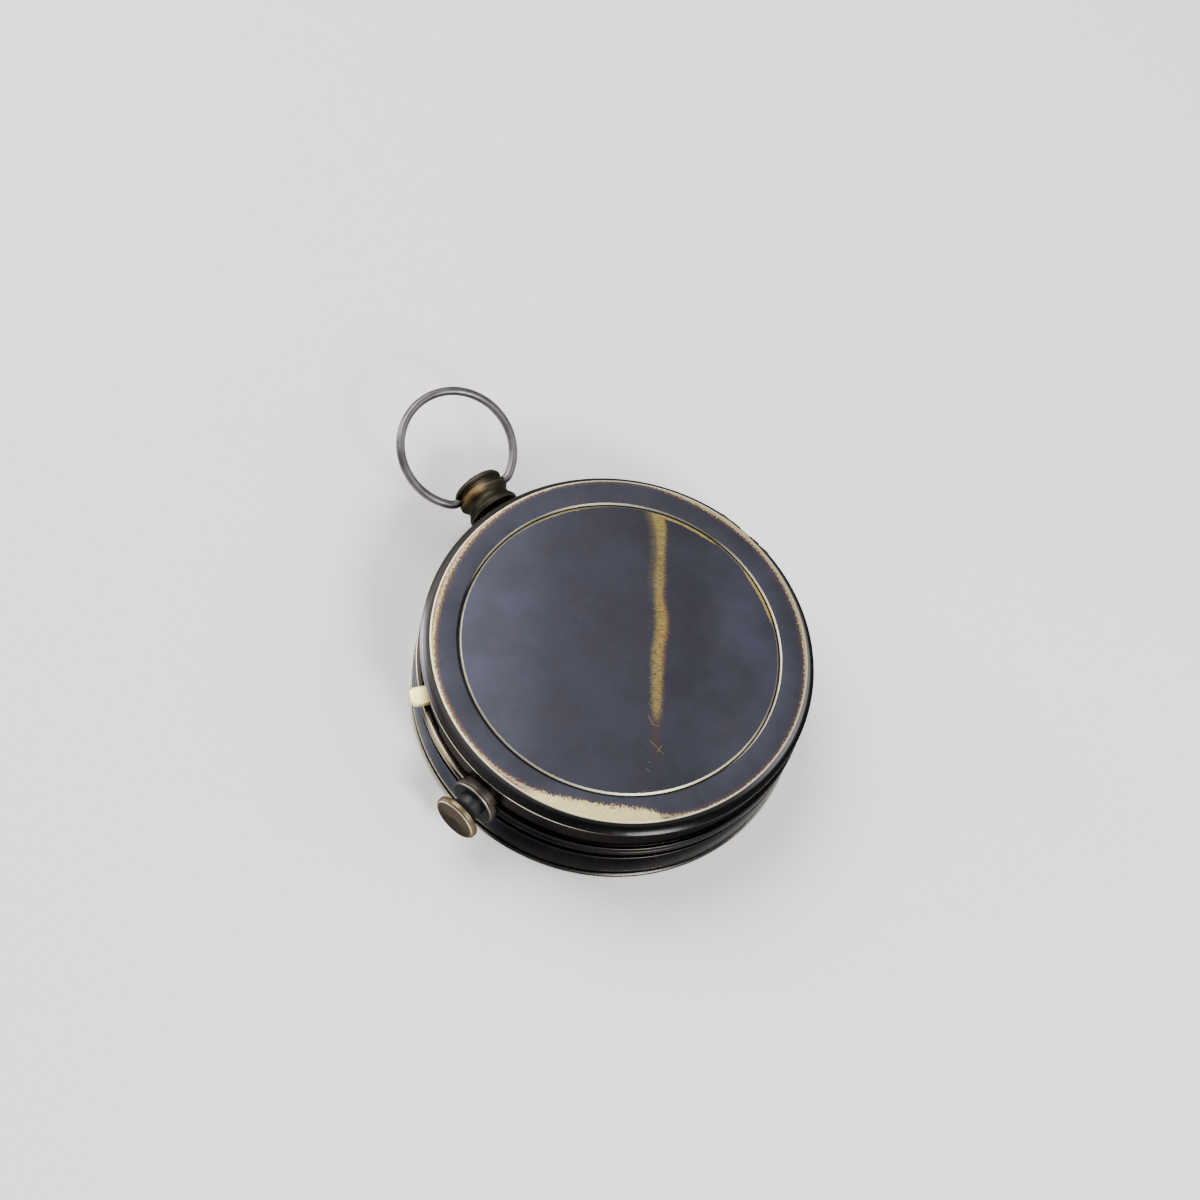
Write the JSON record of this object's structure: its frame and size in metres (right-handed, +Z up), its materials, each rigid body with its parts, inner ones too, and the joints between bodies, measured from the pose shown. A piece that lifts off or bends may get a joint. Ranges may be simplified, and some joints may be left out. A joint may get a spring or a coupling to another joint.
{
  "type": "magnetic compass",
  "caption": "Round pocket compass in an oxidised brass drum with a hinged lid, push-button catch, needle lock and swinging bow.",
  "frame": {"origin": "on the drum's axis, at the flat underside of the base", "axes": "+Z up through the lid, +Y from the drum's axis toward the pendant and bow, +X toward the lid's hinge"},
  "size_m": [0.0824, 0.1055, 0.0224],
  "materials": {
    "case_brass": "dark oxidised brass, glossy, worn to bare metal along the edges",
    "lid_brass": "blue-grey oxidised brass, lightly mottled, worn to pale gold at the rim",
    "pendant_brass": "dark oxidised brass with warm worn high spots",
    "bow_metal": "dark oxidised wire, semi-gloss",
    "collar_brass": "dull brown oxidised brass",
    "button_brass": "brown-gold brass with pale rubbed edges",
    "tab_brass": "bright bare brass, polished by use",
    "inner_brass": "satin machined brass",
    "steel": "bright turned steel",
    "blued_steel": "blued steel, satin",
    "dial_paint": "ivory matt dial paint",
    "scale_silver": "silvered brass, fine circular grain",
    "jewel": "polished red jewel",
    "seal": "matt black",
    "glass": "clear polished glass"
  },
  "bodies": {
    "case": {"case_drum": "case_brass", "base_cover": "case_brass", "base_screws": "inner_brass", "pendant": "pendant_brass", "latch_collar": "collar_brass", "latch_spring": "steel", "spring_bracket": "inner_brass", "bracket_screw": "inner_brass", "case_hinge_knuckles": "case_brass", "hinge_pin": "steel", "dial_pillars": "inner_brass", "dial_plate": "dial_paint", "degree_ring": "scale_silver", "dial_screws": "inner_brass", "pivot_post": "steel", "bezel_ring": "inner_brass", "glass_seal": "seal", "glass": "glass", "glass_retainer": "inner_brass"},
    "lid": {"lid_rim": "lid_brass", "lid_disc": "lid_brass", "lid_hinge_knuckles": "lid_brass"},
    "bow": {"bow_ring": "bow_metal"},
    "push_button": {"latch_button": "button_brass", "catch_plate": "steel"},
    "lock": {"lock_ring": "inner_brass", "lock_tab": "tab_brass"},
    "lifter": {"needle_lifter": "inner_brass"},
    "needle_group": {"needle": "blued_steel", "needle_cap": "inner_brass", "needle_jewel": "jewel", "needle_weight": "inner_brass"}
  },
  "joints": [
    {"name": "lid_hinge", "type": "hinge", "parent": "case", "child": "lid", "pos_m": [0.0359, 0.00855, 0.01955], "axis": [-0.2317, 0.9728, 0], "range_deg": [0, 100]},
    {"name": "bow_swing", "type": "hinge", "parent": "case", "child": "bow", "pos_m": [0, 0.0463, 0.0108], "axis": [1, 0, 0], "range_deg": [-125, 85]},
    {"name": "latch_press", "type": "slide", "parent": "case", "child": "push_button", "axis": [0.9728, 0.2317, 0], "range_m": [0, 0.0008], "stiffness_N_per_m": 900, "springref_m": -0.001, "deforming": ["latch_spring"]},
    {"name": "needle_lock", "type": "hinge", "parent": "case", "child": "lock", "pos_m": [0, 0, 0.015], "axis": [0, 0, 1], "range_deg": [0, 6.5]},
    {"name": "lifter_rise", "type": "slide", "parent": "case", "child": "lifter", "axis": [0, 0, 1], "range_m": [0, 0.0006]},
    {"name": "needle_spin", "type": "hinge", "parent": "lifter", "child": "needle_group", "pos_m": [0, 0, 0.0184], "axis": [0, 0, 1], "continuous": true}
  ],
  "couplings": [
    {"joint": "lifter_rise", "follows": "needle_lock", "m_per_rad": 0.005288}
  ]
}
